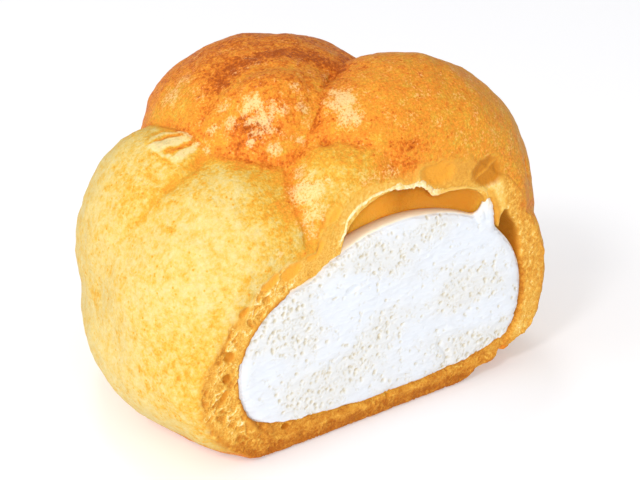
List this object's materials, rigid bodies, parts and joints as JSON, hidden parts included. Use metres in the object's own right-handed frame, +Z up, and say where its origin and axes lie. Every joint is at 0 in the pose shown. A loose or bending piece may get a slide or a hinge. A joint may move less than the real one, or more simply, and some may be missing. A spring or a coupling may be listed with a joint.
{
  "type": "cream puff",
  "caption": "Lobed golden choux bun with its front sliced away, showing a whipped cream filling under a small air pocket.",
  "frame": {"origin": "under the middle of the cut piece, on the surface it rests on", "axes": "+X to the right along the cut, +Y from the cut into the bun, +Z up"},
  "size_m": [0.0894, 0.0644, 0.064],
  "materials": {
    "choux_crust": "baked choux crust, golden and slightly glossy, with open crumb at the cut",
    "whipped_cream": "white whipped cream, soft and slightly translucent"
  },
  "bodies": {
    "root": {"choux_shell": "choux_crust", "whipped_cream": "whipped_cream"}
  },
  "joints": []
}
